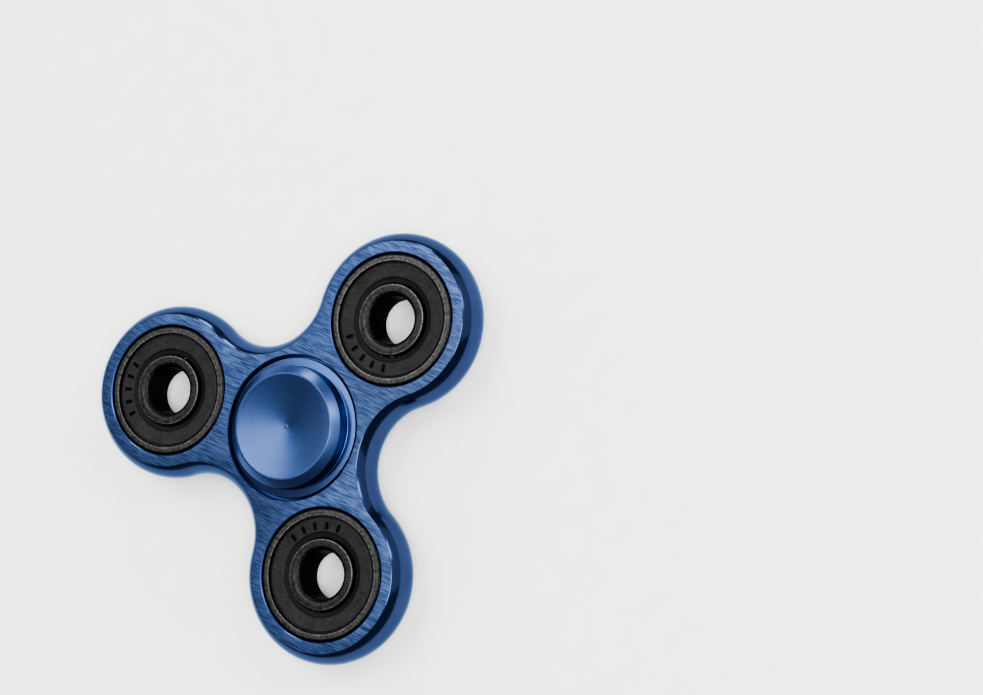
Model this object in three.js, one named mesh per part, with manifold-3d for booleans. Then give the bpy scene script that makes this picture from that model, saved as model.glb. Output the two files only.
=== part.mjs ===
// Three-lobed fidget spinner: an aluminium body that turns on a small ball bearing held between two
// screwed-together finger caps, with a sealed 608-size ball bearing in each lobe as a weight.
// Millimetres, +Z up. The origin is on the spin axis, at the middle of the body's thickness.
import * as THREE from "three";
import { mergeVertices } from "three/addons/utils/BufferGeometryUtils.js";
import Module from "manifold-3d";

// ---------- driving dimensions ----------

const BODY = {
  thickness: 7.2,
  lobeDistance: 25, // spin axis to the axis of a lobe's bearing
  lobeRadius: 14.75, // at mid-thickness, where the barrelled side is widest
  waistRadius: 14.92, // spin axis to the nearest point of the outline between two lobes
  sideBulge: 1.75, // how far the side stands out past the edge of the flat face
  boreChamfer: 0.15,
  recessRadius: 12.1,
  recessDepth: 2,
};

const LOBE_BEARING = {
  bore: 4,
  outerRadius: 11,
  width: 7,
  ballCount: 7,
  ballRadius: 1.984,
  pitchRadius: 7.5,
  raceClearance: 0.12,
  innerShoulder: 6,
  outerShoulder: 9.05,
  landRadius: 9.65, // inner edge of the outer ring's face
  sealGrooveRadius: 9.9,
  boreChamfer: 0.55,
  rimChamfer: 0.35,
};

const CENTRE_BEARING = {
  bore: 3.175,
  outerRadius: 6.35,
  width: 3.175,
  ballCount: 10,
  ballRadius: 0.794,
  pitchRadius: 4.7625,
  raceClearance: 0.08,
  innerShoulder: 4.2,
  outerShoulder: 5.35,
  chamfer: 0.25,
};

const SEAL = {
  innerRadius: 6.15,
  faceInner: 6.5,
  faceOuter: 8.95,
  outerRadius: 9.75,
  bottom: 2.65, // heights above the bearing's mid-plane
  lip: 2.9,
  face: 3.25,
};

const CAP = {
  flangeRadius: 11.7,
  flangeTop: 3.1, // heights above the spinner's mid-plane
  flangeBottom: 2.1,
  flangeChamfer: 0.15,
  knobRadius: 10.2,
  knobFillet: 0.35,
  shoulderTop: 5.54,
  rimTop: 6.65,
  rimOuter: 8.85,
  rimInner: 8.6,
  dishDepth: 1.4,
  bossRadius: 4,
  spigotRadius: 3.08,
  studRadius: 1.95,
  socketRadius: 2.15,
};

const SEAT_GAP = 0.1; // between a pressed-in outer ring and its seat
const LOBES = { front: -90, right: 30, left: 150 }; // degrees about the spin axis

const RING_SEGMENTS = 30;
const SMALL_RING_SEGMENTS = 24;
const CAP_SEGMENTS = 36;

// ---------- materials ----------

const anodised = new THREE.MeshStandardMaterial({ color: 0x2a4f96, roughness: 0.35, metalness: 1 });
const anodisedCap = new THREE.MeshStandardMaterial({ color: 0x2c529a, roughness: 0.28, metalness: 1 });
const darkSteel = new THREE.MeshStandardMaterial({ color: 0x4a4845, roughness: 0.4, metalness: 1 });
const brightSteel = new THREE.MeshStandardMaterial({ color: 0xb9bbbe, roughness: 0.15, metalness: 1 });
const blackRubber = new THREE.MeshStandardMaterial({ color: 0x1d1d1d, roughness: 0.7, metalness: 0 });
const cageNylon = new THREE.MeshStandardMaterial({ color: 0xd8cfb8, roughness: 0.55, metalness: 0 });

// ---------- solids ----------

const wasm = await Module();
wasm.setup();

/** A closed geometry as a manifold-3d solid, for cutting and joining. */
function toSolid(geometry) {
  const bare = geometry.index ? geometry.toNonIndexed() : geometry.clone();
  bare.deleteAttribute("normal");
  bare.deleteAttribute("uv");
  const merged = mergeVertices(bare, 1e-4);
  return new wasm.Manifold(
    new wasm.Mesh({
      numProp: 3,
      vertProperties: merged.attributes.position.array,
      triVerts: new Uint32Array(merged.index.array),
    }),
  );
}

/** A manifold-3d solid back as a geometry. */
function toGeometry(solid) {
  const mesh = solid.getMesh();
  const geometry = new THREE.BufferGeometry();
  geometry.setAttribute("position", new THREE.BufferAttribute(mesh.vertProperties, 3));
  geometry.setIndex(new THREE.BufferAttribute(mesh.triVerts, 1));
  return geometry;
}

/** A ring or disc turned about Z from [radius, height] points, anticlockwise in that plane. */
function turned(profile, segments) {
  const points = profile.map(([radius, height]) => new THREE.Vector2(radius, height));
  return new THREE.LatheGeometry(points, segments).rotateX(Math.PI / 2);
}

/** The same profile with its first point again at the end, for a ring with a hole. */
function turnedRing(profile, segments) {
  return turned([...profile, profile[0]], segments);
}

/** Points on an arc in the [radius, height] plane, both ends included. Angles in degrees. */
function arc(centreRadius, centreHeight, radius, from, to, steps) {
  return Array.from({ length: steps + 1 }, (_, i) => {
    const angle = THREE.MathUtils.degToRad(from + ((to - from) * i) / steps);
    return [centreRadius + radius * Math.cos(angle), centreHeight + radius * Math.sin(angle)];
  });
}

/** The profile mirrored to the other side of the mid-plane, still anticlockwise. */
function flipped(profile) {
  return profile.map(([radius, height]) => [radius, -height]).reverse();
}

/** Half the angle, seen from the ball's centre, that a raceway covers down to a shoulder. */
function raceHalfAngle(bearing, shoulder) {
  const raceRadius = bearing.ballRadius + bearing.raceClearance;
  const reach = Math.abs(shoulder - bearing.pitchRadius);
  return THREE.MathUtils.radToDeg(Math.acos(reach / raceRadius));
}

// ---------- the body ----------

/**
 * The spinner's outline, moved inwards by inset: three round lobes joined by hollow arcs that
 * meet them smoothly. Every inset gives the same number of points, in the same order.
 */
function bodyOutline(inset) {
  const lobeStep = Math.PI / 18;
  const waistSteps = 7;
  const { lobeDistance: lobe, lobeRadius: radius, waistRadius: waist } = BODY;
  const hollowRadius =
    (lobe ** 2 + waist ** 2 - lobe * waist - radius ** 2) / (2 * radius + lobe - 2 * waist);
  const hollowDistance = waist + hollowRadius;
  const sixth = Math.PI / 3;
  const hollow = new THREE.Vector2(
    hollowDistance * Math.cos(sixth),
    hollowDistance * Math.sin(sixth),
  );
  const tangent = Math.atan2(hollow.y, hollow.x - lobe);
  const hollowSweep = 2 * (tangent - sixth);
  const whole = Math.floor(tangent / lobeStep);
  const lobeAngles = [-tangent];
  for (let i = -whole; i <= whole; i++) {
    lobeAngles.push(i * lobeStep);
  }
  lobeAngles.push(tangent);
  const points = [];
  for (let third = 0; third < 3; third++) {
    const turn = THREE.MathUtils.degToRad(LOBES.front + 120 * third);
    const origin = new THREE.Vector2();
    for (const angle of lobeAngles) {
      const point = new THREE.Vector2(lobe, 0).add(
        new THREE.Vector2(Math.cos(angle), Math.sin(angle)).multiplyScalar(radius - inset),
      );
      points.push(point.rotateAround(origin, turn));
    }
    for (let i = 1; i < waistSteps; i++) {
      const angle = tangent + Math.PI - (hollowSweep * i) / waistSteps;
      const point = hollow.clone().add(
        new THREE.Vector2(Math.cos(angle), Math.sin(angle)).multiplyScalar(hollowRadius + inset),
      );
      points.push(point.rotateAround(origin, turn));
    }
  }
  return points;
}

/** How far in from its widest the side of the body is at a height: the side is one arc. */
function sideInset(height) {
  const half = BODY.thickness / 2;
  const sideRadius = (half ** 2 + BODY.sideBulge ** 2) / (2 * BODY.sideBulge);
  return sideRadius - Math.sqrt(sideRadius ** 2 - height ** 2);
}

/** The body before its holes: outlines stacked at several heights, closed by two flat faces. */
function bodyBlank() {
  const bands = 6;
  const outlines = Array.from({ length: bands + 1 }, (_, i) => {
    const height = BODY.thickness * (i / bands - 0.5);
    return bodyOutline(sideInset(height)).map((point) => [point.x, point.y, height]);
  });
  const count = outlines[0].length;
  const triangles = [];
  for (let band = 0; band < bands; band++) {
    for (let i = 0; i < count; i++) {
      const next = (i + 1) % count;
      const [lower, upper] = [outlines[band], outlines[band + 1]];
      triangles.push(lower[i], lower[next], upper[next]);
      triangles.push(lower[i], upper[next], upper[i]);
    }
  }
  const top = outlines[bands];
  const bottom = outlines[0];
  const flat = top.map(([x, y]) => new THREE.Vector2(x, y));
  for (const [a, b, c] of THREE.ShapeUtils.triangulateShape(flat, [])) {
    triangles.push(top[a], top[b], top[c]);
    triangles.push(bottom[a], bottom[c], bottom[b]);
  }
  const geometry = new THREE.BufferGeometry();
  geometry.setAttribute("position", new THREE.Float32BufferAttribute(triangles.flat(), 3));
  return geometry;
}

/** A cutter for a through hole with a small chamfer at both faces of the body. */
function chamferedHole(radius, segments) {
  const half = BODY.thickness / 2;
  const mouth = radius + BODY.boreChamfer + 1;
  const profile = [
    [0, -half - 1],
    [mouth, -half - 1],
    [radius, -half + BODY.boreChamfer],
    [radius, half - BODY.boreChamfer],
    [mouth, half + 1],
    [0, half + 1],
  ];
  return turned(profile, segments);
}

/** The body: blank, three bearing seats, a round recess in each face and the centre seat. */
function spinnerBody() {
  const half = BODY.thickness / 2;
  const floor = half - BODY.recessDepth;
  const lip = BODY.recessRadius + BODY.boreChamfer + 1;
  const seat = CENTRE_BEARING.outerRadius + SEAT_GAP;
  const centreCut = [
    [0, -half - 1],
    [lip, -half - 1],
    [BODY.recessRadius, -half + BODY.boreChamfer],
    [BODY.recessRadius, -floor],
    [seat, -floor],
    [seat, floor],
    [BODY.recessRadius, floor],
    [BODY.recessRadius, half - BODY.boreChamfer],
    [lip, half + 1],
    [0, half + 1],
  ];
  let solid = toSolid(bodyBlank()).subtract(toSolid(turned(centreCut, CAP_SEGMENTS)));
  for (const degrees of Object.values(LOBES)) {
    const angle = THREE.MathUtils.degToRad(degrees);
    const hole = chamferedHole(LOBE_BEARING.outerRadius + SEAT_GAP, RING_SEGMENTS).translate(
      BODY.lobeDistance * Math.cos(angle),
      BODY.lobeDistance * Math.sin(angle),
      0,
    );
    solid = solid.subtract(toSolid(hole));
  }
  return toGeometry(solid);
}

// ---------- ball bearings ----------

/** The sealed bearing's outer ring: raceway, two shoulders and a groove for each seal. */
function lobeOuterRing() {
  const b = LOBE_BEARING;
  const half = b.width / 2;
  const raceRadius = b.ballRadius + b.raceClearance;
  const spread = raceHalfAngle(b, b.outerShoulder);
  const upper = [
    [b.outerRadius, half - b.rimChamfer],
    [b.outerRadius - b.rimChamfer, half],
    [b.landRadius, half],
    [b.landRadius, SEAL.lip + 0.12],
    [b.sealGrooveRadius, SEAL.lip + 0.12],
    [b.sealGrooveRadius, SEAL.bottom - 0.15],
    [b.outerShoulder, SEAL.bottom - 0.15],
  ];
  const race = arc(b.pitchRadius, 0, raceRadius, spread, -spread, 4);
  return turnedRing([...upper, ...race, ...flipped(upper)], RING_SEGMENTS);
}

/** The sealed bearing's inner ring, with its chamfered bore. */
function lobeInnerRing() {
  const b = LOBE_BEARING;
  const half = b.width / 2;
  const raceRadius = b.ballRadius + b.raceClearance;
  const spread = raceHalfAngle(b, b.innerShoulder);
  const upper = [
    [b.innerShoulder, half - 0.2],
    [b.innerShoulder - 0.2, half],
    [b.bore + b.boreChamfer, half],
    [b.bore, half - b.boreChamfer],
  ];
  const race = arc(b.pitchRadius, 0, raceRadius, 180 + spread, 180 - spread, 4);
  return turnedRing([...upper, ...flipped(upper), ...race], SMALL_RING_SEGMENTS);
}

/** A moulded rubber seal: a raised face between a lip at the inner ring and a bead in the groove. */
function seal(side) {
  const profile = [
    [SEAL.innerRadius, SEAL.bottom],
    [SEAL.outerRadius, SEAL.bottom],
    [SEAL.outerRadius, SEAL.lip],
    [SEAL.faceOuter + 0.1, SEAL.lip],
    [SEAL.faceOuter, SEAL.face],
    [SEAL.faceInner, SEAL.face],
    [SEAL.innerRadius, SEAL.lip],
  ];
  return turnedRing(side > 0 ? profile : flipped(profile), RING_SEGMENTS);
}

/** A snap-in crown cage: a ring with a round pocket for each ball, open on one side. */
function crownCage(bearing, wall, base, arms, pocketRadius) {
  const ring = [
    [bearing.pitchRadius + wall / 2, base],
    [bearing.pitchRadius + wall / 2, arms],
    [bearing.pitchRadius - wall / 2, arms],
    [bearing.pitchRadius - wall / 2, base],
  ];
  let solid = toSolid(turnedRing(ring, bearing.ballCount * 3));
  for (let i = 0; i < bearing.ballCount; i++) {
    const pocket = new THREE.CylinderGeometry(pocketRadius, pocketRadius, wall * 3, 12)
      .rotateZ(Math.PI / 2)
      .translate(bearing.pitchRadius, 0, 0)
      .rotateZ((2 * Math.PI * i) / bearing.ballCount);
    solid = solid.subtract(toSolid(pocket));
  }
  return toGeometry(solid);
}

/** The open centre bearing's outer ring. */
function centreOuterRing() {
  const b = CENTRE_BEARING;
  const half = b.width / 2;
  const spread = raceHalfAngle(b, b.outerShoulder);
  const upper = [
    [b.outerRadius, half - b.chamfer],
    [b.outerRadius - b.chamfer, half],
    [b.outerShoulder, half],
  ];
  const race = arc(b.pitchRadius, 0, b.ballRadius + b.raceClearance, spread, -spread, 4);
  return turnedRing([...upper, ...race, ...flipped(upper)], SMALL_RING_SEGMENTS);
}

/** The open centre bearing's inner ring. */
function centreInnerRing() {
  const b = CENTRE_BEARING;
  const half = b.width / 2;
  const spread = raceHalfAngle(b, b.innerShoulder);
  const upper = [
    [b.innerShoulder, half],
    [b.bore + b.chamfer, half],
    [b.bore, half - b.chamfer],
  ];
  const race = arc(b.pitchRadius, 0, b.ballRadius + b.raceClearance, 180 + spread, 180 - spread, 4);
  return turnedRing([...upper, ...flipped(upper), ...race], SMALL_RING_SEGMENTS);
}

// ---------- finger caps ----------

/** The outside of a cap above its boss: flange, knob, chamfer, rim and finger dish. */
function capFace() {
  const c = CAP;
  const dishSteps = 4;
  const dish = Array.from({ length: dishSteps + 1 }, (_, i) => {
    const share = 1 - i / dishSteps;
    return [c.rimInner * share, c.rimTop - c.dishDepth * (1 - share ** 2)];
  });
  return [
    [c.bossRadius, c.flangeBottom],
    [c.flangeRadius, c.flangeBottom],
    [c.flangeRadius, c.flangeTop - c.flangeChamfer],
    [c.flangeRadius - c.flangeChamfer, c.flangeTop],
    [c.knobRadius + c.knobFillet, c.flangeTop],
    [c.knobRadius, c.flangeTop + c.knobFillet],
    [c.knobRadius, c.shoulderTop],
    [c.rimOuter, c.rimTop],
    ...dish,
  ];
}

/** The upper cap: its spigot fills the bearing's bore and ends in the screw stud. */
function upperCap() {
  const bossFoot = CENTRE_BEARING.width / 2 + 0.05;
  const profile = [
    [0, -2.6],
    [CAP.studRadius - 0.25, -2.6],
    [CAP.studRadius, -2.35],
    [CAP.studRadius, 0.25],
    [CAP.spigotRadius, 0.25],
    [CAP.spigotRadius, bossFoot],
    [CAP.bossRadius, bossFoot],
    ...capFace(),
  ];
  return turned(profile, CAP_SEGMENTS);
}

/** The lower cap: the same outside upside down, with the tapped socket for the stud. */
function lowerCap() {
  const bossFoot = CENTRE_BEARING.width / 2 + 0.05;
  const socketFloor = 3.3;
  const profile = [
    [0, socketFloor],
    [CAP.socketRadius, socketFloor],
    [CAP.socketRadius, 0.3],
    [CAP.socketRadius + 0.25, 0.05],
    [CAP.spigotRadius, 0.05],
    [CAP.spigotRadius, bossFoot],
    [CAP.bossRadius, bossFoot],
    ...capFace(),
  ];
  return turned(flipped(profile), CAP_SEGMENTS);
}

// ---------- assembly ----------

const spinner = new THREE.Group();

function add(group, name, geometry, material) {
  const mesh = new THREE.Mesh(geometry, material);
  mesh.name = name;
  group.add(mesh);
  return mesh;
}

/** Adds a bearing's balls, evenly spaced round its pitch circle. */
function addBalls(group, prefix, bearing, material) {
  for (let i = 0; i < bearing.ballCount; i++) {
    const angle = (2 * Math.PI * i) / bearing.ballCount;
    const ball = new THREE.IcosahedronGeometry(bearing.ballRadius, 1);
    const mesh = add(group, `${prefix}_ball_${i + 1}`, ball, material);
    mesh.position.set(
      bearing.pitchRadius * Math.cos(angle),
      bearing.pitchRadius * Math.sin(angle),
      0,
    );
  }
}

add(spinner, "spinner_body", spinnerBody(), anodised);
add(spinner, "upper_finger_cap", upperCap(), anodisedCap);
add(spinner, "lower_finger_cap", lowerCap(), anodisedCap);

add(spinner, "centre_bearing_outer_ring", centreOuterRing(), brightSteel);
add(spinner, "centre_bearing_inner_ring", centreInnerRing(), brightSteel);
add(spinner, "centre_bearing_cage", crownCage(CENTRE_BEARING, 0.8, -1.25, 0.45, 0.92), cageNylon);
addBalls(spinner, "centre_bearing", CENTRE_BEARING, brightSteel);

for (const [lobe, degrees] of Object.entries(LOBES)) {
  const bearing = new THREE.Group();
  const angle = THREE.MathUtils.degToRad(degrees);
  bearing.position.set(BODY.lobeDistance * Math.cos(angle), BODY.lobeDistance * Math.sin(angle), 0);
  add(bearing, `${lobe}_bearing_outer_ring`, lobeOuterRing(), darkSteel);
  add(bearing, `${lobe}_bearing_inner_ring`, lobeInnerRing(), darkSteel);
  add(bearing, `${lobe}_bearing_upper_seal`, seal(1), blackRubber);
  add(bearing, `${lobe}_bearing_lower_seal`, seal(-1), blackRubber);
  add(bearing, `${lobe}_bearing_cage`, crownCage(LOBE_BEARING, 1.5, -2.5, 1, 2.13), cageNylon);
  addBalls(bearing, `${lobe}_bearing`, LOBE_BEARING, brightSteel);
  spinner.add(bearing);
}

export default spinner;
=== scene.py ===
import math

import bmesh
import bpy
from mathutils import Matrix, Vector
from mathutils.geometry import tessellate_polygon


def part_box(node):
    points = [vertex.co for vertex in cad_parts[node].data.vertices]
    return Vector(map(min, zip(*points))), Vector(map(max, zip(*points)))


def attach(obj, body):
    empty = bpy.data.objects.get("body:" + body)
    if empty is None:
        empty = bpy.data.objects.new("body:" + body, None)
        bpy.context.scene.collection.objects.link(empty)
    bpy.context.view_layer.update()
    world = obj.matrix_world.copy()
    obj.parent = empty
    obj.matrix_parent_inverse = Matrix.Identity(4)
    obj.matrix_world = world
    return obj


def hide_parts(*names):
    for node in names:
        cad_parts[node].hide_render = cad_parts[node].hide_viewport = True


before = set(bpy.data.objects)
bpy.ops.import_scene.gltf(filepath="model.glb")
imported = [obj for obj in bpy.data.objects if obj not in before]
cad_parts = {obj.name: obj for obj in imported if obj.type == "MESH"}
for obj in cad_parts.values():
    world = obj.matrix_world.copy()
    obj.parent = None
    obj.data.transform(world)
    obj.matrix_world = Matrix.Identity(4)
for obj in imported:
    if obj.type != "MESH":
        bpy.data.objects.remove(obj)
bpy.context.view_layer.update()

# The visual model of the spinner. Lengths below are millimetres in the CAD frame: +Z up, the
# origin on the spin axis at the middle of the body's thickness. Meshes are made in metres.
MM = 0.001

# ---------- sizes shared with the CAD ----------

# Keeps the outermost points just inside the CAD's box.
SLACK = 0.0001

BODY_HALF = 3.6
LOBE_DISTANCE = 25.0
LOBE_RADIUS = 14.75 - SLACK
WAIST_RADIUS = 14.92
SIDE_BULGE = 1.75
SEAT_RADIUS = 11.1
RECESS_RADIUS = 12.1
RECESS_FLOOR = 1.6
CENTRE_SEAT = 6.45
FLANGE_RADIUS = 11.7
CAP_TOP = 6.65 - SLACK

# In both kinds of bearing HALF is half the width, PITCH the radius of the circle of balls, TRACK
# the radius of the groove they run in, and BALL the radius of one ball.
LOBE_BEARING_RADIUS = 11.0
LOBE_BORE_RADIUS = 4.0
LOBE_BEARING_HALF = 3.5
LOBE_PITCH = 7.5
LOBE_TRACK = 2.104
LOBE_BALL = 1.984
LOBE_BALLS = 7
SEAL_RADIUS = 9.75

CENTRE_BEARING_HALF = 1.5875
CENTRE_PITCH = 4.7625
CENTRE_TRACK = 0.874
CENTRE_BALL = 0.794
CENTRE_BALLS = 10

# Where each lobe lies, in degrees from +X.
LOBES = {"front": -90, "right": 30, "left": 150}
# How far each lobe's bearing is turned in its seat, in degrees: it sets where the seal's bars are.
SEAL_TURN = {"front": 86, "right": 215, "left": 163}

# Edges that turn by more than this many degrees stay crisp.
SHARP_ANGLE = 32
BODY_SHARP_ANGLE = 20
HOLE_SEGMENTS = 160
CAP_SEGMENTS = 192
RING_SEGMENTS = 144

# ---------- profiles ----------


def on_circle(centre, radius, angle):
    return (centre[0] + radius * math.cos(angle), centre[1] + radius * math.sin(angle), 0)


def circle(centre, radius, segments):
    return [on_circle(centre, radius, 2 * math.pi * s / segments)[:2] for s in range(segments)]


def rounded(corners, steps=5):
    """Corner points (radius, height, fillet) as a smooth closed outline."""
    out = []
    count = len(corners)
    for i, (x, z, fillet) in enumerate(corners):
        here = Vector((x, z))
        if fillet <= 0:
            out.append((x, z))
            continue
        before = Vector(corners[i - 1][:2]) - here
        after = Vector(corners[(i + 1) % count][:2]) - here
        half_angle = before.angle(after) / 2
        reach = fillet / math.tan(half_angle)
        reach = min(reach, before.length * 0.49, after.length * 0.49)
        radius = reach * math.tan(half_angle)
        start = here + before.normalized() * reach
        end = here + after.normalized() * reach
        bisector = (before.normalized() + after.normalized()).normalized()
        centre = here + bisector * (radius / math.sin(half_angle))
        a = math.atan2(start.y - centre.y, start.x - centre.x)
        b = math.atan2(end.y - centre.y, end.x - centre.x)
        sweep = (b - a + math.pi) % (2 * math.pi) - math.pi
        for k in range(steps + 1):
            out.append(on_circle(centre, radius, a + sweep * k / steps)[:2])
    return out


def mirrored(corners):
    """The same corners below the mid-plane, in the opposite order."""
    return [(x, -z, fillet) for x, z, fillet in reversed(corners)]


def upside_down(points):
    """The same (radius, height) points below the mid-plane, in the opposite order."""
    return [(radius, -height) for radius, height in reversed(points)]


def ball_track(pitch, radius, shoulder, outer, steps=14):
    """Corners of the groove that the balls run in, without the ends on its two shoulders."""
    spread = math.acos(abs(shoulder - pitch) / radius)
    middle = 0 if outer else math.pi
    points = []
    for k in range(1, steps):
        angle = middle + spread - 2 * spread * k / steps
        points.append((pitch + radius * math.cos(angle), radius * math.sin(angle), 0))
    return points


# ---------- meshes ----------


def add_object(name, data):
    """Makes an object of the data and puts it in the scene."""
    made = bpy.data.objects.new(name, data)
    bpy.context.scene.collection.objects.link(made)
    return made


def crisp(mesh, sharp):
    """Welds and smooth-shades a mesh, keeping the edges that turn by more than `sharp` degrees."""
    work = bmesh.new()
    work.from_mesh(mesh)
    bmesh.ops.remove_doubles(work, verts=work.verts, dist=1e-8)
    bmesh.ops.recalc_face_normals(work, faces=work.faces)
    for face in work.faces:
        face.smooth = True
    limit = math.radians(sharp)
    for edge in work.edges:
        edge.smooth = len(edge.link_faces) != 2 or edge.calc_face_angle(0) <= limit
    work.to_mesh(mesh)
    work.free()
    return mesh


def finish_mesh(name, verts, faces, materials, face_slots=None, sharp=SHARP_ANGLE):
    """A mesh from millimetre points, smooth-shaded with its real edges kept crisp."""
    mesh = bpy.data.meshes.new(name)
    mesh.from_pydata([Vector(v) * MM for v in verts], [], faces)
    for material in materials:
        mesh.materials.append(material)
    if face_slots:
        mesh.polygons.foreach_set("material_index", face_slots)
    return crisp(mesh, sharp)


def united(name, first, second):
    """One closed mesh from two that overlap; both carry the same list of materials."""
    pieces = [add_object(f"{name}_{k}", mesh) for k, mesh in enumerate((first, second))]
    union = pieces[0].modifiers.new("union", "BOOLEAN")
    union.operation = "UNION"
    union.solver = "EXACT"
    union.object = pieces[1]
    depsgraph = bpy.context.evaluated_depsgraph_get()
    mesh = bpy.data.meshes.new_from_object(pieces[0].evaluated_get(depsgraph))
    mesh.name = name
    for piece in pieces:
        bpy.data.objects.remove(piece)
    return crisp(mesh, SHARP_ANGLE)


def add_strip(verts, faces, loops):
    """Adds closed loops of equally many points, with a band of quads from each to the next."""
    base = len(verts)
    count = len(loops[0])
    for loop in loops:
        verts.extend(loop)
    for k in range(len(loops) - 1):
        for i in range(count):
            j = (i + 1) % count
            a, b = base + k * count, base + (k + 1) * count
            faces.append((a + i, a + j, b + j, b + i))


def lathe(name, profile, materials, segments=RING_SEGMENTS):
    """A mesh turned about Z from a closed (radius, height) outline; radius 0 is the axis."""
    verts, faces = [], []
    rings = []
    for radius, height in profile:
        if radius < 1e-9:
            rings.append([len(verts)])
            verts.append((0, 0, height))
            continue
        rings.append(range(len(verts), len(verts) + segments))
        verts.extend((x, y, height) for x, y in circle((0, 0), radius, segments))
    for a, b in zip(rings, rings[1:] + rings[:1]):
        if len(a) == 1 and len(b) == 1:
            continue
        for s in range(segments):
            t = (s + 1) % segments
            if len(a) == 1:
                faces.append((a[0], b[t], b[s]))
            elif len(b) == 1:
                faces.append((a[s], a[t], b[0]))
            else:
                faces.append((a[s], a[t], b[t], b[s]))
    return finish_mesh(name, verts, faces, materials)


def ball_mesh(name, radius, subdivisions=4):
    work = bmesh.new()
    bmesh.ops.create_icosphere(work, subdivisions=subdivisions, radius=radius * MM)
    for face in work.faces:
        face.smooth = True
    mesh = bpy.data.meshes.new(name)
    work.to_mesh(mesh)
    work.free()
    mesh.materials.append(BALL_STEEL)
    return mesh


def place(name, mesh, body, stands_for, centre=(0, 0, 0), turn=0):
    """Puts a mesh in the scene as a piece that rides on a CAD body and stands for its node."""
    if turn:
        mesh = mesh.copy()
        mesh.transform(Matrix.Rotation(math.radians(turn), 4, "Z"))
    piece = add_object(name, mesh)
    piece.location = Vector(centre) * MM
    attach(piece, body)
    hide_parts(stands_for)


# ---------- materials ----------


def grey(level):
    return (level,) * 3


class Nodes:
    """Shorthand for building a node material."""

    def __init__(self, name):
        self.material = bpy.data.materials.new(name)
        self.material.use_nodes = True
        self.tree = self.material.node_tree
        self.shader = self.tree.nodes["Principled BSDF"]
        self.coords = self.add("ShaderNodeTexCoord").outputs["Object"]

    def add(self, kind, **settings):
        node = self.tree.nodes.new(kind)
        for key, value in settings.items():
            setattr(node, key, value)
        return node

    def link(self, source, target):
        self.tree.links.new(source, target)

    def set(self, **values):
        """Sets the shader's own sockets: Coat_Weight stands for the socket Coat Weight."""
        for key, value in values.items():
            self.shader.inputs[key.replace("_", " ")].default_value = value

    def feed(self, **sources):
        """Links nodes to the shader's sockets, named as in set."""
        for key, source in sources.items():
            self.link(source, self.shader.inputs[key.replace("_", " ")])

    def mapped(self, scale, turn):
        """The piece's coordinates, turned about Z by some degrees and then scaled."""
        turned = self.add("ShaderNodeMapping")
        turned.inputs["Rotation"].default_value = (0, 0, math.radians(turn))
        scaled = self.add("ShaderNodeMapping")
        scaled.inputs["Scale"].default_value = scale
        self.link(self.coords, turned.inputs["Vector"])
        self.link(turned.outputs["Vector"], scaled.inputs["Vector"])
        return scaled.outputs["Vector"]

    def noise(self, vector, scale, detail=3.0, roughness=0.55):
        node = self.add("ShaderNodeTexNoise")
        node.inputs["Scale"].default_value = scale
        node.inputs["Detail"].default_value = detail
        node.inputs["Roughness"].default_value = roughness
        self.link(vector, node.inputs["Vector"])
        return node.outputs["Fac"]

    def ramp(self, value, stops):
        """A colour that follows the value through stops of (position, colour)."""
        node = self.add("ShaderNodeValToRGB")
        elements = node.color_ramp.elements
        while len(elements) < len(stops):
            elements.new(0.5)
        for element, (position, colour) in zip(elements, stops):
            element.position = position
            element.color = (*colour, 1)
        self.link(value, node.inputs["Fac"])
        return node.outputs["Color"]

    def span(self, value, low, high):
        """Spreads a noise value, which is mostly between 0.3 and 0.7, from low to high."""
        node = self.add("ShaderNodeMapRange")
        node.inputs["From Min"].default_value = 0.3
        node.inputs["From Max"].default_value = 0.7
        node.inputs["To Min"].default_value = low
        node.inputs["To Max"].default_value = high
        self.link(value, node.inputs["Value"])
        return node.outputs["Result"]

    def maths(self, operation, *values):
        node = self.add("ShaderNodeMath", operation=operation)
        for socket, value in zip(node.inputs, values):
            if isinstance(value, (int, float)):
                socket.default_value = value
            else:
                self.link(value, socket)
        return node.outputs["Value"]

    def mixed(self, first, share, second):
        """The first value by its share, and the second value for the rest."""
        return self.maths(
            "ADD",
            self.maths("MULTIPLY", first, share),
            self.maths("MULTIPLY", second, round(1 - share, 2)),
        )

    def multiplied(self, first, second):
        """Two colours multiplied."""
        mix = self.add("ShaderNodeMix", data_type="RGBA", blend_type="MULTIPLY")
        mix.inputs["Factor"].default_value = 1.0
        colours = [socket for socket in mix.inputs if socket.type == "RGBA"]
        self.link(first, colours[0])
        self.link(second, colours[1])
        return next(socket for socket in mix.outputs if socket.type == "RGBA")

    def radius_and_height(self):
        """Distance from the piece's own Z axis, and height along it."""
        split = self.add("ShaderNodeSeparateXYZ")
        self.link(self.coords, split.inputs["Vector"])
        x2 = self.maths("POWER", split.outputs["X"], 2)
        y2 = self.maths("POWER", split.outputs["Y"], 2)
        return self.maths("SQRT", self.maths("ADD", x2, y2)), split.outputs["Z"]

    def rings(self, outermost, stops):
        """A colour that follows the radius through stops of (radius, colour)."""
        radius, _ = self.radius_and_height()
        share = self.maths("DIVIDE", radius, outermost * MM)
        return self.ramp(share, [(at / outermost, colour) for at, colour in stops])

    def turned_marks(self, pitch):
        """Noise that only changes with radius and height: the marks of a lathe tool."""
        radius, height = self.radius_and_height()
        join = self.add("ShaderNodeCombineXYZ")
        self.link(radius, join.inputs["X"])
        self.link(height, join.inputs["Y"])
        return self.noise(join.outputs["Vector"], 1 / (pitch * MM), detail=2.0, roughness=0.6)

    def bump(self, height, distance):
        """A normal from a height whose full range is `distance` millimetres deep."""
        node = self.add("ShaderNodeBump")
        node.inputs["Distance"].default_value = distance * MM
        self.link(height, node.inputs["Height"])
        return node.outputs["Normal"]


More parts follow.
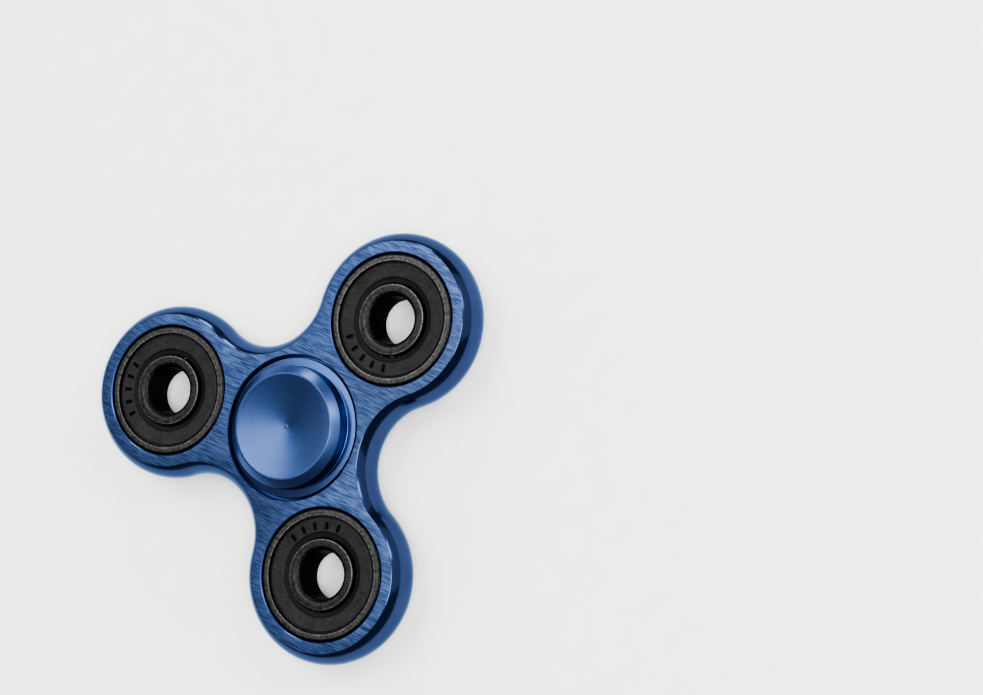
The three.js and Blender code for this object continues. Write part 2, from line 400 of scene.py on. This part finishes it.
def anodised(name, coat_roughness, **values):
    """Metal under a glassy oxide layer, which adds a faint white sheen to the blue."""
    n = Nodes(name)
    n.set(Metallic=1.0, Specular_Tint=(0.4, 0.52, 0.72, 1), **values)
    n.set(Coat_Weight=0.25, Coat_IOR=1.5, Coat_Roughness=coat_roughness)
    return n


def brushed_blue():
    """Streaks in two lengths, which run almost the same way."""
    n = anodised("brushed_blue_anodised", 0.3, Anisotropic=0.4)
    short = n.noise(n.mapped(scale=(560, 12000, 200), turn=39), 1.0, detail=1.0, roughness=0.5)
    long = n.noise(n.mapped(scale=(280, 7200, 100), turn=36), 1.0, detail=1.0, roughness=0.5)
    streaks = n.mixed(short, 0.55, long)
    deep, middle, light = (0.007, 0.016, 0.055), (0.02, 0.041, 0.112), (0.05, 0.088, 0.19)
    n.feed(
        Base_Color=n.ramp(streaks, [(0.4, deep), (0.5, middle), (0.6, light)]),
        Roughness=n.span(streaks, 0.48, 0.32),
        Normal=n.bump(streaks, 0.03),
    )
    return n.material


def polished_blue(name, deep, light, roughness):
    n = anodised(name, roughness * 0.8)
    cloud = n.noise(n.coords, 160)
    grain = n.noise(n.coords, 5200, detail=2.0)
    n.feed(
        Base_Color=n.ramp(cloud, [(0.35, deep), (0.65, light)]),
        Roughness=n.span(grain, roughness - 0.03, roughness + 0.05),
        Normal=n.bump(grain, 0.0008),
    )
    return n.material


def turned_blue():
    """The caps' finish: satin on the knob and in the dish, and smoother on the flange."""
    n = anodised("turned_blue_anodised", 0.22, Anisotropic=0.4)
    grain = n.noise(n.coords, 6400, detail=2.0, roughness=0.6)
    both = n.mixed(n.turned_marks(0.09), 0.35, grain)
    knob_end, flange_start = 10.062, 10.296
    finish = n.rings(FLANGE_RADIUS, [(knob_end, grey(0.31)), (flange_start, grey(0.2))])
    tangent = n.add("ShaderNodeTangent", direction_type="RADIAL", axis="Z")
    n.feed(
        Base_Color=n.ramp(both, [(0.35, (0.018, 0.038, 0.112)), (0.65, (0.034, 0.064, 0.168))]),
        Roughness=n.maths("ADD", finish, n.maths("MULTIPLY", both, 0.08)),
        Normal=n.bump(both, 0.0006),
        Tangent=tangent.outputs["Tangent"],
    )
    return n.material


def bearing_steel(name, dark, light, roughness):
    n = Nodes(name)
    n.set(Metallic=1.0)
    wear = n.noise(n.coords, 1800, detail=4.0, roughness=0.65)
    both = n.mixed(n.turned_marks(0.12), 0.4, wear)
    n.feed(
        Base_Color=n.ramp(both, [(0.36, dark), (0.64, light)]),
        Roughness=n.span(both, roughness - 0.08, roughness + 0.12),
        Normal=n.bump(both, 0.004),
    )
    return n.material


def blackened_steel():
    """The lobe bearings' rings: blackened steel, with light lines along the edges of each face that
    are partly wear and partly painted highlight, and painted shade on the rounded edges beside them.
    """
    n = Nodes("dark_bearing_steel")
    n.set(Metallic=1.0, Specular_Tint=(0.35, 0.35, 0.35, 1))
    # Light lines at the edges of each face are partly wear and partly painted highlight; the black
    # bands on the rounded edges next to the bore, the seal and the body are painted shade.
    black, dark, dull, wear_and_highlight = grey(0.007), grey(0.022), grey(0.04), grey(0.09)
    inner_face = [
        (4.1, dark), (4.4, black), (4.75, dark), (4.86, dull),
        (4.98, dark), (5.6, dark), (5.74, wear_and_highlight), (5.88, black),
    ]
    outer_face = [(9.72, black), (9.84, wear_and_highlight), (9.98, dull), (10.45, dull), (10.72, black)]
    wear_and_painted_light = n.rings(LOBE_BEARING_RADIUS, inner_face + outer_face)
    wear = n.noise(n.coords, 2400, detail=4.0, roughness=0.7)
    both = n.mixed(n.turned_marks(0.1), 0.35, wear)
    broken = n.ramp(both, [(0.4, grey(0.35)), (0.62, grey(1.7))])
    n.feed(
        Base_Color=n.multiplied(wear_and_painted_light, broken),
        Roughness=n.span(both, 0.32, 0.52),
        Normal=n.bump(both, 0.008),
    )
    return n.material


def seal_rubber(name, roughness, shade, shine, relief):
    """Moulded rubber with a sandy face, and painted shade that makes it black in the deep channel
    next to the inner ring.
    """
    n = Nodes(name)
    n.set(Specular_IOR_Level=shine)
    grain = n.noise(n.coords, 3400, roughness=0.75)
    both = n.mixed(grain, 0.75, n.noise(n.coords, 500, detail=2.0))
    face = n.ramp(both, [(0.38, grey(0.002 * shade)), (0.62, grey(0.014 * shade))])
    # Painted shade: near black inside the channel next to the inner ring, where shade falls.
    channel_end, face_start = 6.9, 7.05
    painted_channel_shade = n.rings(SEAL_RADIUS, [(channel_end, grey(0.05)), (face_start, grey(1.0))])
    n.feed(
        Base_Color=n.multiplied(face, painted_channel_shade),
        Roughness=n.span(both, roughness - 0.08, roughness + 0.12),
        Normal=n.bump(grain, relief),
    )
    return n.material


def cage_nylon():
    n = Nodes("cage_nylon")
    n.set(Subsurface_Weight=0.1, Subsurface_Scale=1 * MM)
    cloud = n.noise(n.coords, 700)
    n.feed(
        Base_Color=n.ramp(cloud, [(0.35, (0.62, 0.55, 0.42)), (0.65, (0.7, 0.64, 0.51))]),
        Roughness=n.span(cloud, 0.42, 0.58),
        Normal=n.bump(cloud, 0.01),
    )
    return n.material


def floor_paper():
    n = Nodes("pale_floor")
    n.set(Roughness=0.85)
    cloud = n.noise(n.coords, 220)
    n.feed(Base_Color=n.ramp(cloud, [(0.3, grey(0.86)), (0.7, grey(0.9))]))
    return n.material


BRUSHED = brushed_blue()
POLISHED = polished_blue(
    "polished_blue_anodised", deep=(0.0085, 0.019, 0.066), light=(0.012, 0.025, 0.08), roughness=0.16
)
# The walls of the holes and of the recess are a lighter blue than the side: painted light that lifts
# the shade in them. Their rougher finish is real.
BORED_WITH_PAINTED_LIGHT = polished_blue(
    "bored_blue_anodised_painted_light", deep=(0.03, 0.06, 0.19), light=(0.036, 0.07, 0.21), roughness=0.35
)
TURNED = turned_blue()
LOBE_STEEL = blackened_steel()
CENTRE_STEEL = bearing_steel(
    "ground_bearing_steel", dark=(0.42, 0.42, 0.43), light=(0.6, 0.6, 0.61), roughness=0.22
)
BALL_STEEL = bearing_steel(
    "polished_ball_steel", dark=(0.55, 0.55, 0.56), light=(0.62, 0.62, 0.63), roughness=0.12
)
RUBBER = seal_rubber("seal_rubber", roughness=0.6, shade=1.0, shine=0.15, relief=0.05)
SMOOTH_RUBBER = seal_rubber(
    "smooth_seal_rubber", roughness=0.5, shade=0.05, shine=0.03, relief=0.004
)
NYLON = cage_nylon()

# ---------- the body ----------


def body_outline(inset, lobe_steps=120, hollow_steps=48):
    """The body's outline moved inwards by inset: three lobes joined by hollow arcs."""
    p, r, w = LOBE_DISTANCE, LOBE_RADIUS, WAIST_RADIUS
    hollow = (p * p + w * w - p * w - r * r) / (2 * r + p - 2 * w)
    sixth = math.pi / 3
    centre = Vector((math.cos(sixth), math.sin(sixth))) * (w + hollow)
    tangent = math.atan2(centre.y, centre.x - p)
    sweep = 2 * (tangent - sixth)
    points = []
    for third in range(3):
        turn = Matrix.Rotation(math.radians(LOBES["front"] + 120 * third), 2)
        for i in range(lobe_steps + 1):
            a = -tangent + 2 * tangent * i / lobe_steps
            points.append(turn @ (Vector((p, 0)) + Vector((math.cos(a), math.sin(a))) * (r - inset)))
        for i in range(1, hollow_steps):
            a = tangent + math.pi - sweep * i / hollow_steps
            reach = hollow + inset
            points.append(turn @ (centre + Vector((math.cos(a), math.sin(a))) * reach))
    return points


def side_profile(steps=20, edge_steps=4):
    """(inset, height) down the side: one barrelled arc, with both its edges just broken."""
    radius = (BODY_HALF**2 + SIDE_BULGE**2) / (2 * SIDE_BULGE)
    top = math.asin(BODY_HALF / radius)
    edge, edge_angle = 0.06, 0.03
    arc = []
    for k in range(steps + 1):
        a = (top - edge_angle) * (1 - 2 * k / steps)
        arc.append((radius - radius * math.cos(a), radius * math.sin(a)))
    corner = Vector((SIDE_BULGE, BODY_HALF))
    start = Vector((SIDE_BULGE + edge, BODY_HALF))
    end = Vector(arc[0])
    broken = []
    for k in range(edge_steps):
        t = k / edge_steps
        broken.append(tuple(start * (1 - t) ** 2 + corner * 2 * t * (1 - t) + end * t * t))
    return broken + arc + upside_down(broken)


def body_mesh():
    """The body: side, two flat faces with their holes, and the walls of the holes."""
    materials = [BRUSHED, POLISHED, BORED_WITH_PAINTED_LIGHT]
    flat_slot, side_slot, hole_slot = range(3)
    chamfer = 0.15
    verts, faces, slots = [], [], []

    def skin(loops, slot):
        add_strip(verts, faces, loops)
        slots.extend([slot] * (len(faces) - len(slots)))

    def hole(centre, profile):
        loops = [[(x, y, z) for x, y in circle(centre, r, HOLE_SEGMENTS)] for r, z in profile]
        skin(loops, hole_slot)

    side = [[(q.x, q.y, z) for q in body_outline(inset)] for inset, z in side_profile()]
    skin(side, side_slot)

    seat = [(SEAT_RADIUS + chamfer, BODY_HALF), (SEAT_RADIUS, BODY_HALF - chamfer)]
    recess = [
        (RECESS_RADIUS + chamfer, BODY_HALF),
        (RECESS_RADIUS, BODY_HALF - chamfer),
        (RECESS_RADIUS, RECESS_FLOOR),
        (CENTRE_SEAT, RECESS_FLOOR),
    ]
    lobe_centres = [on_circle((0, 0), LOBE_DISTANCE, math.radians(d)) for d in LOBES.values()]
    for centre in lobe_centres:
        hole(centre, seat + upside_down(seat))
    hole((0, 0), recess + upside_down(recess))

    for height, rim in ((BODY_HALF, side[0]), (-BODY_HALF, side[-1])):
        loops = [[(x, y) for x, y, _ in rim]]
        loops += [circle(centre, SEAT_RADIUS + chamfer, HOLE_SEGMENTS) for centre in lobe_centres]
        loops.append(circle((0, 0), RECESS_RADIUS + chamfer, HOLE_SEGMENTS))
        loops = [[Vector((x, y, 0)) for x, y in loop] for loop in loops]
        base = len(verts)
        verts.extend((q.x, q.y, height) for loop in loops for q in loop)
        for triangle in tessellate_polygon(loops):
            faces.append(tuple(base + i for i in triangle))
            slots.append(flat_slot)
    return finish_mesh("spinner_body", verts, faces, materials, slots, BODY_SHARP_ANGLE)


place("body", body_mesh(), "spinner", "spinner_body")

# ---------- the finger caps ----------

CAP_OUTSIDE = [
    (4.0, 2.1, 0.1),
    (FLANGE_RADIUS, 2.1, 0.1),
    (FLANGE_RADIUS, 3.1, 0.12),
    (10.2, 3.1, 0.18),
    (10.2, 5.54, 0.14),
    (8.9, CAP_TOP, 0.15),
    (8.58, CAP_TOP, 0.15),
]
DISH_START = (7.9, 6.42, 0)
DISH_DEPTH = 1.4
DISH_RADIUS = 8.6
PIP_RADIUS = 0.32
PIP_HEIGHT = 0.04


def cap_outline(foot, dish_steps=27):
    """A cap's outline from the axis round its foot and outside to the middle of its dish."""
    # The dish's own points take over from DISH_START, which only aims the fillet before it.
    outside = rounded(foot + CAP_OUTSIDE + [DISH_START])[:-1]
    base = CAP_TOP - DISH_DEPTH
    dish = []
    for k in range(dish_steps):
        share = 1 - k / dish_steps
        radius = DISH_RADIUS * share
        if PIP_RADIUS * 1.3 < radius < DISH_START[0]:
            dish.append((radius, CAP_TOP - DISH_DEPTH * (1 - share**1.35)))
    pip = [
        (PIP_RADIUS, base + PIP_HEIGHT * 0.3),
        (PIP_RADIUS * 0.7, base + PIP_HEIGHT * 0.5),
        (PIP_RADIUS * 0.35, base + PIP_HEIGHT * 0.875),
        (0, base + PIP_HEIGHT),
    ]
    return outside + dish + pip


# Both feet sit in the centre bearing's inner ring, and the upper's stud is in the lower's socket.
FOOT_SHOULDER = [(3.08, 1.64, 0.05), (4.0, 1.64, 0.1)]
STUD_FOOT = [(0, -2.6, 0), (1.95, -2.6, 0.2), (1.95, 0.25, 0), (3.08, 0.25, 0.15)]
SOCKET_FOOT = [(0, 3.3, 0), (2.15, 3.3, 0), (2.15, 0.05, 0.2), (3.08, 0.05, 0.15)]
upper_outline = cap_outline(STUD_FOOT + FOOT_SHOULDER)
lower_outline = upside_down(cap_outline(SOCKET_FOOT + FOOT_SHOULDER))
upper_cap = lathe("upper_cap", upper_outline, [TURNED], CAP_SEGMENTS)
lower_cap = lathe("lower_cap", lower_outline, [TURNED], CAP_SEGMENTS)
place("cap_upper", upper_cap, "caps", "upper_finger_cap")
place("cap_lower", lower_cap, "caps", "lower_finger_cap")

# ---------- the bearings ----------


def ring_mesh(name, upper, pitch, track, outer, material):
    """A bearing's ring from the corners of its upper half; the ball track joins its halves."""
    shoulder = upper[-1][0] if outer else upper[0][0]
    groove = ball_track(pitch, track, shoulder, outer)
    lower = mirrored(upper)
    corners = upper + groove + lower if outer else upper + lower + groove
    return lathe(name, rounded(corners), [material])


# Corners (radius, height, fillet) of each ring's upper half; the lobes' outer rings have a
# groove that holds the seal.
LOBE_OUTER = [
    (LOBE_BEARING_RADIUS, LOBE_BEARING_HALF, 0.45),
    (9.65, LOBE_BEARING_HALF, 0.08),
    (9.65, 3.02, 0),
    (9.9, 3.02, 0),
    (9.9, 2.5, 0),
    (9.05, 2.5, 0.05),
]
LOBE_INNER = [(6.0, LOBE_BEARING_HALF, 0.25), (LOBE_BORE_RADIUS, LOBE_BEARING_HALF, 0.85)]
CENTRE_OUTER = [(6.35, CENTRE_BEARING_HALF, 0.22), (5.35, CENTRE_BEARING_HALF, 0.04)]
CENTRE_INNER = [(4.2, CENTRE_BEARING_HALF, 0.04), (3.175, CENTRE_BEARING_HALF, 0.2)]

lobe_outer = ring_mesh("lobe_outer_ring", LOBE_OUTER, LOBE_PITCH, LOBE_TRACK, True, LOBE_STEEL)
lobe_inner = ring_mesh("lobe_inner_ring", LOBE_INNER, LOBE_PITCH, LOBE_TRACK, False, LOBE_STEEL)
centre_outer = ring_mesh(
    "centre_outer_ring", CENTRE_OUTER, CENTRE_PITCH, CENTRE_TRACK, True, CENTRE_STEEL
)
centre_inner = ring_mesh(
    "centre_inner_ring", CENTRE_INNER, CENTRE_PITCH, CENTRE_TRACK, False, CENTRE_STEEL
)

SEAL_FACE = 3.13
SEAL_LIP = SEAL_FACE + 0.06
SEAL_CORNERS = [
    (6.15, 2.65, 0.05),
    (SEAL_RADIUS, 2.65, 0.05),
    (SEAL_RADIUS, 2.85, 0.08),
    (9.38, 2.85, 0.06),
    (9.28, SEAL_LIP, 0.1),
    (8.95, SEAL_LIP, 0.04),
    (8.9, SEAL_FACE, 0.04),
    (7.12, SEAL_FACE, 0.16),
    (6.9, 2.8, 0.08),
    (6.15, 2.78, 0.06),
]
SEAL_MATERIALS = [RUBBER, SMOOTH_RUBBER]

BAR_COUNT = 5
BAR_SPACING = 15.5
BAR_INNER, BAR_OUTER = 7.4, 8.7
BAR_HALF_WIDTH = 0.27
BAR_CORNER = 0.2
BAR_ROOT = 0.1
BAR_RISE = 0.12
# The bars are as wide as stated at this distance from the bearing's axis.
BAR_ARC = 7.85


def seal_bars(up):
    """Plain raised bars in a row on the seal's face: rounded blocks on an arc."""
    x = (BAR_OUTER - BAR_INNER) / 2 - BAR_CORNER
    y = BAR_HALF_WIDTH - BAR_CORNER
    edge = []
    for quarter, corner in enumerate([(x, y), (-x, y), (-x, -y), (x, -y)]):
        for step in range(5):
            angle = math.pi / 2 * (quarter + step / 4)
            edge.append(on_circle(corner, BAR_CORNER, angle)[:2])
    # How much of the edge is left at each height, from the root in the seal to the top.
    levels = [
        (1.0, SEAL_FACE - BAR_ROOT),
        (1.0, SEAL_FACE + BAR_RISE * 0.5),
        (0.94, SEAL_FACE + BAR_RISE * 0.9),
        (0.84, SEAL_FACE + BAR_RISE),
    ]
    verts, faces = [], []
    for k in range(BAR_COUNT):
        middle = math.radians((k - BAR_COUNT // 2) * BAR_SPACING)
        loops = []
        for share, height in levels:
            loop = []
            for outwards, across in edge:
                radius = (BAR_INNER + BAR_OUTER) / 2 + outwards * share
                angle = middle + across * share / BAR_ARC
                loop.append((radius * math.cos(angle), radius * math.sin(angle), height * up))
            loops.append(loop)
        bottom = range(len(verts), len(verts) + len(edge))
        add_strip(verts, faces, loops)
        top = range(len(verts) - len(edge), len(verts))
        faces += [tuple(top), tuple(bottom)]
    return verts, faces


def seal_mesh(name, up):
    """A seal facing up (1) or down (-1), with its raised bars."""
    upper = rounded(SEAL_CORNERS, 3)
    verts, faces = seal_bars(up)
    smooth_slot = SEAL_MATERIALS.index(SMOOTH_RUBBER)
    bars = finish_mesh(f"{name}_bars", verts, faces, SEAL_MATERIALS, [smooth_slot] * len(faces))
    return united(name, lathe(name, upper if up > 0 else upside_down(upper), SEAL_MATERIALS), bars)


seal_up = seal_mesh("seal_upper", 1)
seal_down = seal_mesh("seal_lower", -1)
lobe_ball = ball_mesh("lobe_ball", LOBE_BALL)
centre_ball = ball_mesh("centre_ball", CENTRE_BALL)

place("centre_outer_ring", centre_outer, "spinner", "centre_bearing_outer_ring")
place("centre_inner_ring", centre_inner, "caps", "centre_bearing_inner_ring")
for i in range(CENTRE_BALLS):
    spot = on_circle((0, 0), CENTRE_PITCH, 2 * math.pi * i / CENTRE_BALLS)
    node = f"centre_bearing_ball_{i + 1}"
    place(f"centre_ball_{i + 1}", centre_ball, "centre_cage", node, spot)

for lobe, degrees in LOBES.items():
    centre = on_circle((0, 0), LOBE_DISTANCE, math.radians(degrees))
    turn = SEAL_TURN[lobe]
    for part, mesh, body, slot, part_turn in [
        ("outer_ring", lobe_outer, "spinner", "lobe_ring_steel", turn),
        ("inner_ring", lobe_inner, f"{lobe}_inner_ring", "lobe_ring_steel", 2 * turn),
        ("upper_seal", seal_up, "spinner", "seal_rubber", turn),
        ("lower_seal", seal_down, "spinner", "seal_rubber", -turn),
    ]:
        place(f"{lobe}_{part}", mesh, body, f"{lobe}_bearing_{part}", centre, part_turn)
    for i in range(LOBE_BALLS):
        spot = on_circle(centre, LOBE_PITCH, 2 * math.pi * i / LOBE_BALLS)
        node = f"{lobe}_bearing_ball_{i + 1}"
        place(f"{lobe}_ball_{i + 1}", lobe_ball, f"{lobe}_cage", node, spot)

# The four cages keep their CAD shape and get a better material.
for bearing in ("centre", *LOBES):
    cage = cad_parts[f"{bearing}_bearing_cage"]
    cage.data.materials.clear()
    cage.data.materials.append(NYLON)

# ---------- floor, light and camera ----------

# Metres from the middle of the floor to its edges.
FLOOR_REACH = 4

floor_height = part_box("lower_finger_cap")[0].z
work = bmesh.new()
bmesh.ops.create_grid(work, x_segments=4, y_segments=4, size=FLOOR_REACH)
floor_mesh = bpy.data.meshes.new("floor")
work.to_mesh(floor_mesh)
work.free()
floor_mesh.materials.append(floor_paper())
floor = add_object("floor", floor_mesh)
floor.location = (0, 0, floor_height)

world = bpy.data.worlds.new("studio")
world.use_nodes = True
sky = world.node_tree.nodes["Background"].inputs
sky["Color"].default_value = (0.94, 0.97, 1, 1)
sky["Strength"].default_value = 0.36
bpy.context.scene.world = world


def softbox(name, azimuth, elevation, distance, width, height, power):
    """A rectangular light aimed at the object, in degrees from +X and up, metres and watts."""
    light = bpy.data.lights.new(name, "AREA")
    light.shape = "RECTANGLE"
    light.size = width
    light.size_y = height
    light.energy = power
    lamp = add_object(name, light)
    a, e = math.radians(azimuth), math.radians(elevation)
    away = Vector((math.cos(a) * math.cos(e), math.sin(a) * math.cos(e), math.sin(e)))
    lamp.location = away * distance
    lamp.rotation_mode = "QUATERNION"
    lamp.rotation_quaternion = away.to_track_quat("Z", "Y")


softbox("key", 100, 67, 1.2, 0.8, 0.8, 14)
softbox("back", 76, 19, 1.1, 0.25, 0.2, 4)
softbox("right", 15, 39, 1.1, 0.3, 0.3, 5)
softbox("front", -30, 60, 1.2, 0.5, 0.5, 20)
softbox("left wall", 150, 20, 1.6, 2.4, 1.1, 15)
softbox("right wall", 5, 32, 1.6, 2.0, 1.8, 12)

bpy.context.scene.view_settings.look = "AgX - Medium High Contrast"

camera_data = bpy.data.cameras.new("camera")
camera_data.sensor_width = 36
camera_data.lens = 97.5
camera_data.clip_start = 0.01
camera = add_object("camera", camera_data)
right = Vector((0.88651, -0.2049, -0.41487))
up = Vector((0.27244, 0.95586, 0.11007))
back = Vector((0.37401, -0.2106, 0.9032))
camera_place = Vector((197.7, -86.9, 389.1)) * MM
facing = Matrix((right, up, back)).transposed().to_4x4()
camera.matrix_world = Matrix.Translation(camera_place) @ facing
bpy.context.scene.camera = camera
